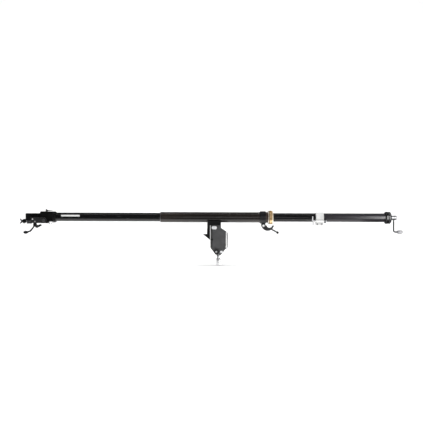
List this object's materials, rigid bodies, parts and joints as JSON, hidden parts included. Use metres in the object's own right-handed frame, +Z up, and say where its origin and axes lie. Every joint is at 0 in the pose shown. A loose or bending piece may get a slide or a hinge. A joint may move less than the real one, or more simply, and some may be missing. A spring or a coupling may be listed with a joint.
{
  "type": "cranked telescopic boom arm",
  "caption": "Telescopic studio boom arm with a tilting bracket on a stand spigot, a cranked lamp head, an index ring and a cam clamp.",
  "frame": {"origin": "on the stand spigot's axis, at the centre of its shoulder, where the plain pin begins", "axes": "+X along the boom towards the crank (the lamp socket is at -X), -Y towards the front plate with the knob, +Z up along the stand spigot's axis"},
  "size_m": [2.2306, 0.107, 0.326],
  "materials": {
    "aluminium": "machined",
    "black_anodised": "satin anodised",
    "black_paint": "fine satin",
    "black_plastic": "moulded",
    "brake_lining": "matte",
    "bronze": "machined",
    "brown_bush": "matte",
    "chrome": "polished",
    "dark_casting": "satin",
    "gloss_black": "gloss",
    "gold": "satin",
    "grey_paint": "satin",
    "label": "matte film",
    "nylon": "matte",
    "steel": "brushed",
    "white_paint": "satin"
  },
  "bodies": {
    "bracket": {"bracket_front_plate": "grey_paint", "bracket_rear_plate": "grey_paint", "bracket_back_strap": "grey_paint", "bracket_foot_block": "black_paint", "stand_spigot": "chrome", "plate_screws": "steel", "pinch_bolt": "chrome", "pivot_pin": "chrome", "pivot_nut": "steel", "brake_pin": "steel", "brake_spring": "steel"},
    "spigot_knob": {"spigot_lock_knob": "black_plastic"},
    "brake_lever": {"brake_lever": "black_paint", "brake_pad": "brake_lining"},
    "boom_sleeve": {"saddle": "black_paint", "pivot_bushes": "bronze", "brake_sector": "steel", "saddle_screws": "steel", "sleeve_tube": "black_anodised", "sleeve_front_bush": "black_plastic", "sleeve_end_bush": "brown_bush", "clamp_collar": "dark_casting", "clamp_pin": "steel"},
    "cam_lever": {"cam_lever": "dark_casting", "cam_lever_rod": "steel", "cam_lever_ball": "black_plastic"},
    "index_ring": {"index_ring": "gold", "key_screw": "steel"},
    "boom_tube": {"boom_tube": "black_anodised", "label_strip": "label", "rear_tube": "gloss_black", "tube_joiner": "aluminium", "joint_collar": "white_paint", "keeper_tab": "steel", "stop_pin": "steel", "shaft_bearings": "nylon", "end_cap_flange": "black_paint", "end_cap_dome": "grey_paint", "gearbox_housing": "black_paint", "gearbox_cover": "aluminium", "cap_screws": "steel", "housing_collar": "black_paint", "head_stop_bar": "black_paint"},
    "lock_rod": {"lock_rod": "chrome"},
    "large_ring": {"safety_ring_large": "steel"},
    "small_ring": {"safety_ring_small": "steel"},
    "latch": {"tube_lock_latch": "black_plastic"},
    "crank": {"drive_shaft": "steel", "worm": "bronze", "crank_hub": "aluminium", "crank_arm": "steel"},
    "crank_knob": {"crank_knob": "aluminium"},
    "yoke": {"tilt_yoke": "aluminium", "tilt_shaft": "steel", "worm_wheel": "bronze"},
    "lamp_socket": {"socket_liner": "aluminium", "socket_block": "black_paint", "swivel_stub": "steel"},
    "wing_key": {"wing_key": "black_plastic"},
    "ratchet_lever": {"ratchet_lever": "black_plastic"}
  },
  "joints": [
    {"name": "boom_tilt", "type": "hinge", "parent": "bracket", "child": "boom_sleeve", "pos_m": [-0.024, 0, 0.183], "axis": [0, 1, 0], "range_deg": [-20, 38]},
    {"name": "brake_lever_press", "type": "hinge", "parent": "bracket", "child": "brake_lever", "pos_m": [-0.038, 0, 0.115], "axis": [0, -1, 0], "range_deg": [0, 16], "stiffness_Nm_per_rad": 1.2, "springref_deg": -20.05},
    {"name": "spigot_knob_turn", "type": "hinge", "parent": "bracket", "child": "spigot_knob", "pos_m": [-0.011, -0.05, 0.043], "axis": [0, 1, 0], "range_deg": [-180, 180]},
    {"name": "cam_lever_swing", "type": "hinge", "parent": "boom_sleeve", "child": "cam_lever", "pos_m": [0.262, 0, 0.195], "axis": [0, 1, 0], "range_deg": [0, 100]},
    {"name": "index_roll", "type": "hinge", "parent": "boom_sleeve", "child": "index_ring", "pos_m": [0.304, 0, 0.243], "axis": [1, 0, 0], "continuous": true},
    {"name": "boom_slide", "type": "slide", "parent": "index_ring", "child": "boom_tube", "axis": [1, 0, 0], "range_m": [-0.205, 0.6]},
    {"name": "lock_rod_slide", "type": "slide", "parent": "boom_tube", "child": "lock_rod", "axis": [1, 0, 0], "range_m": [-0.018, 0]},
    {"name": "large_ring_swing", "type": "hinge", "parent": "boom_tube", "child": "large_ring", "pos_m": [-0.971, -0.031, 0.2205], "axis": [-1, 0, 0], "range_deg": [-6, 85]},
    {"name": "small_ring_swing", "type": "hinge", "parent": "boom_tube", "child": "small_ring", "pos_m": [-0.95, -0.031, 0.2205], "axis": [-1, 0, 0], "range_deg": [-6, 85]},
    {"name": "latch_turn", "type": "hinge", "parent": "boom_tube", "child": "latch", "pos_m": [-1, 0, 0.277], "axis": [0, 0, 1], "range_deg": [-90, 90]},
    {"name": "head_tilt", "type": "hinge", "parent": "boom_tube", "child": "yoke", "pos_m": [-1.012, 0, 0.223], "axis": [0, -1, 0], "range_deg": [0, 75]},
    {"name": "crank_turn", "type": "hinge", "parent": "boom_tube", "child": "crank", "pos_m": [1.02, 0, 0.243], "axis": [1, 0, 0], "range_deg": [0, 1500]},
    {"name": "crank_knob_spin", "type": "hinge", "parent": "crank", "child": "crank_knob", "pos_m": [1.052, 0, 0.16], "axis": [1, 0, 0], "continuous": true},
    {"name": "socket_swivel", "type": "hinge", "parent": "yoke", "child": "lamp_socket", "pos_m": [-1.07, 0, 0.223], "axis": [1, 0, 0], "range_deg": [-90, 90]},
    {"name": "wing_key_turn", "type": "hinge", "parent": "lamp_socket", "child": "wing_key", "pos_m": [-1.13, 0, 0.2175], "axis": [1, 0, 0], "range_deg": [-180, 180]},
    {"name": "ratchet_lever_turn", "type": "hinge", "parent": "yoke", "child": "ratchet_lever", "pos_m": [-1.069, 0, 0.198], "axis": [0, 0, 1], "range_deg": [-75, 75]}
  ],
  "couplings": [
    {"joint": "crank_turn", "follows": "head_tilt", "ratio": 20}
  ]
}
